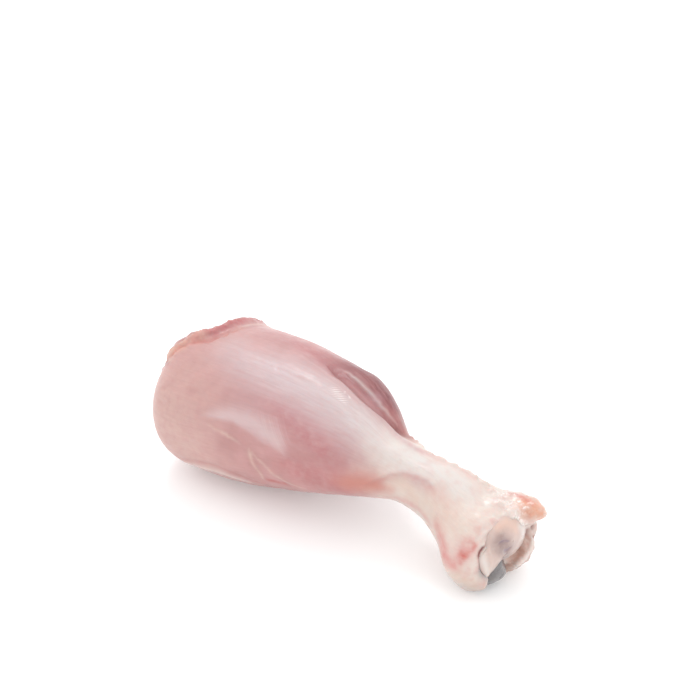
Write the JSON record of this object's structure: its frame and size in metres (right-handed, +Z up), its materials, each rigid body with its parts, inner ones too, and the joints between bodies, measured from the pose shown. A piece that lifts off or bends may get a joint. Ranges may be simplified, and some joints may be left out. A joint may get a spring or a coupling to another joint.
{
  "type": "raw chicken drumstick",
  "caption": "Raw skinless drumstick: a plump muscle belly that narrows to the shin and ends in a knuckle with a pale gristle cap.",
  "frame": {"origin": "on the surface it lies on, below the middle of the drumstick's box", "axes": "+X along the leg from the knee to the ankle, +Z up"},
  "size_m": [0.129, 0.052, 0.047],
  "materials": {
    "meat": "moist raw meat under a thin pale membrane",
    "bone": "moist blue-grey bone end",
    "gristle": "moist white gristle"
  },
  "bodies": {
    "root": {"meat": "meat", "shin_bone": "bone", "gristle_cap": "gristle"}
  },
  "joints": []
}
